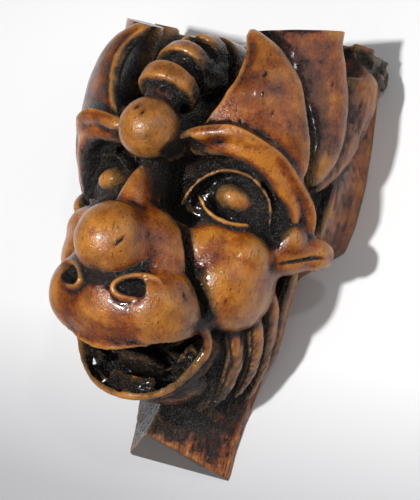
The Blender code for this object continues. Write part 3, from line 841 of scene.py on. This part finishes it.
# Painted glints: pale flecks put into the base colour of the black hollows, where light would
# sparkle.
painted_glints = stain.times(stain.maths("GREATER_THAN", even["Grit and glint"], 0.60), sunk)
for share, paler_or_darker in (
        (stain.times(stain.mask("rubbed"), 0.65), (0.50, 0.235, 0.045, 1.0)),
        (stain.times(pits, 0.75), (0.022, 0.007, 0.003, 1.0)),
        (stain.mask("bare"), (0.060, 0.046, 0.036, 1.0)),
        (stain.times(painted_glints, 0.8), (0.085, 0.072, 0.060, 1.0))):
    colour = stain.mix(share, colour, paler_or_darker)
stain.feed(stain.look.inputs["Base Color"], colour)
stain.feed(stain.look.inputs["Roughness"], stain.total(
    stain.times(sunk, -0.10), stain.swing(even["Patch"], 0.20),
    stain.times(stain.mask("bare"), 0.34), 0.26))
crumb = stain.times(even["Crumb"], stain.total(stain.times(sunk, 3.2), 0.42))
stain.bump(stain.total(crumb, stain.times(even["Grit and glint"], 0.20),
                       stain.times(stain.mask("fibre"), upright["Speck"])), 0.0005)
stain.feed(stain.look.inputs["Coat Weight"],
           stain.maths("SUBTRACT", 0.25, stain.times(sunk, 0.13)))
stain.look.inputs["Specular IOR Level"].default_value = 0.45
stain.look.inputs["Coat Roughness"].default_value = 0.09

# Cut end of the stem. The sawn resin is bare here, grey-brown and duller, with faint saw
# marks across it.
end_grain = Shade("Cut end")
across = end_grain.grain((1.0, 0.35, 1.0))
tone = end_grain.total(end_grain.swing(across["Cloud"], 1.0),
                       end_grain.swing(across["Patch"], 0.8), 0.5, clamp=True)
end_grain.feed(end_grain.look.inputs["Base Color"], end_grain.ramp(tone, [
    (0.0, (0.050, 0.038, 0.030)), (0.5, (0.082, 0.064, 0.050)), (1.0, (0.120, 0.094, 0.072))]))
end_grain.feed(end_grain.look.inputs["Roughness"],
               end_grain.total(end_grain.swing(across["Patch"], 0.2), 0.5))
end_grain.bump(across["Speck"], 0.0002, 0.6)
mesh.materials.clear()
mesh.materials.append(stain.material)
mesh.materials.append(end_grain.material)
foot_way = Vector((0, -math.sin(slope), -math.cos(slope)))
for face in mesh.polygons:
    if face.normal.dot(foot_way) > 0.96 and face.center.z < -0.064:
        face.material_index = 1
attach(corbel, "root")
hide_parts("dragon_corbel")

# Backdrop. A pale wall that the flat back rests on, curved down into a pale floor, with painted
# shade on it: greyer towards the floor, and grey on the floor, where the light falls off.
FLOOR, BEND = -0.30, 0.06       # height of the floor, and radius of the curve up from it
GAP = 0.0004                    # between the flat back and the wall
# Painted shade: the wall's colour darkens towards the floor, as the light falls off there.
PAINTED_SHADE_FROM, PAINTED_SHADE_RISE = -0.13, 0.2       # where the wall starts to get paler, and how far up
sweep = bmesh.new()
profile = [(GAP, 0.9), (GAP, FLOOR + BEND)]
profile += [(GAP - BEND * (1 - math.cos(t)), FLOOR + BEND - BEND * math.sin(t))
            for t in np.linspace(0, math.pi / 2, 9)[1:]]
profile += [(-1.2, FLOOR)]
verts = [sweep.verts.new((-0.9, y, z)) for y, z in profile]
edges = [sweep.edges.new(pair) for pair in zip(verts, verts[1:])]
grown = bmesh.ops.extrude_edge_only(sweep, edges=edges)
bmesh.ops.translate(sweep, vec=(1.8, 0, 0),
                    verts=[v for v in grown["geom"] if isinstance(v, bmesh.types.BMVert)])
bmesh.ops.recalc_face_normals(sweep, faces=sweep.faces)
if sum(face.normal.y for face in sweep.faces) > 0:
    bmesh.ops.reverse_faces(sweep, faces=sweep.faces)
wall_mesh = bpy.data.meshes.new("wall")
sweep.to_mesh(wall_mesh)
sweep.free()
wall = bpy.data.objects.new("pale_wall", wall_mesh)
bpy.context.scene.collection.objects.link(wall)
wall_mesh.shade_smooth()
paint = Shade("Pale wall")
nodes, links = paint.nodes, paint.links
split = nodes.new("ShaderNodeSeparateXYZ")
links.new(nodes.new("ShaderNodeTexCoord").outputs["Object"], split.inputs[0])
# Painted shade, greyest at the floor and palest high on the wall.
height = paint.times(paint.maths("SUBTRACT", split.outputs["Z"], PAINTED_SHADE_FROM), 1 / PAINTED_SHADE_RISE,
                     clamp=True)
paint.feed(paint.look.inputs["Base Color"], paint.ramp(height, [
    (0.0, (0.36, 0.36, 0.37)), (0.19, (0.45, 0.45, 0.465)), (0.35, (0.66, 0.66, 0.67)),
    (0.5, (0.86, 0.86, 0.86)), (1.0, (0.92, 0.92, 0.92))]))
paint.feed(paint.look.inputs["Roughness"],
           paint.total(paint.swing(paint.grain()["Patch"], 0.1), 0.85))
behind = nodes.new("ShaderNodeNewGeometry")
clear = nodes.new("ShaderNodeBsdfTransparent")
either = nodes.new("ShaderNodeMixShader")
links.new(behind.outputs["Backfacing"], either.inputs[0])
links.new(paint.look.outputs[0], either.inputs[1])
links.new(clear.outputs[0], either.inputs[2])
links.new(either.outputs[0], nodes["Material Output"].inputs["Surface"])
wall_mesh.materials.append(paint.material)

# Camera at the photograph's angle, below and to the right of the head, leaning over. The
# picture is 420 pixels wide and 500 high, and its middle is off the camera's axis.
WIDE, HIGH = 420, 500
yaw, pitch, roll = 0.55206, -0.12446, 0.24512
distance, focal_pixels = 0.46683, 1404.86
look_at = Vector((0, -0.030, 0))
# Directions from there: to the camera, to the right of the picture and to its top.
away = Vector((math.sin(yaw) * math.cos(pitch), -math.cos(yaw) * math.cos(pitch), math.sin(pitch)))
right = Vector((math.cos(yaw), math.sin(yaw), 0))
over = away.cross(right)
right, over = (right * math.cos(roll) + over * math.sin(roll),
               over * math.cos(roll) - right * math.sin(roll))
view = bpy.data.cameras.new("camera")
view.sensor_fit = "HORIZONTAL"
view.sensor_width = 36.0
view.lens = focal_pixels * view.sensor_width / WIDE
view.shift_x = (WIDE / 2 - 189.460) / WIDE
view.shift_y = (237.504 - HIGH / 2) / WIDE
view.clip_start = 0.01
camera = bpy.data.objects.new("camera", view)
bpy.context.scene.collection.objects.link(camera)
stand = Matrix((right, over, away)).transposed().to_4x4()
stand.translation = look_at + away * distance
camera.matrix_world = stand
bpy.context.scene.camera = camera

# Light. A small hard lamp low on the left draws the shadow on the wall, a broad soft one
# fills from the right, a weak one from above puts the glints in, and the surround is even.


def add_lamp(name, way, far, size, power):
    """A square lamp some way off in a direction, turned to the carving."""
    lamp = bpy.data.lights.new(name, "AREA")
    lamp.size = size
    lamp.energy = power
    obj = bpy.data.objects.new(name, lamp)
    bpy.context.scene.collection.objects.link(obj)
    obj.location = look_at + way.normalized() * far
    obj.rotation_euler = (look_at - obj.location).to_track_quat("-Z", "Y").to_euler()


add_lamp("key", away - right * 0.72 + over * 0.10, 0.60, 0.034, 3.5)
add_lamp("fill", Vector((1.0, -0.5, 0.45)), 0.70, 0.5, 0.9)
add_lamp("front", away + over * 0.45 + right * 0.1, 0.60, 0.03, 0.25)
surround = bpy.data.worlds.new("surround")
bpy.context.scene.world = surround
surround.use_nodes = True
surround.node_tree.nodes["Background"].inputs["Color"].default_value = (0.96, 0.98, 1.0, 1.0)
surround.node_tree.nodes["Background"].inputs["Strength"].default_value = 0.14
bpy.context.scene.view_settings.view_transform = "Standard"
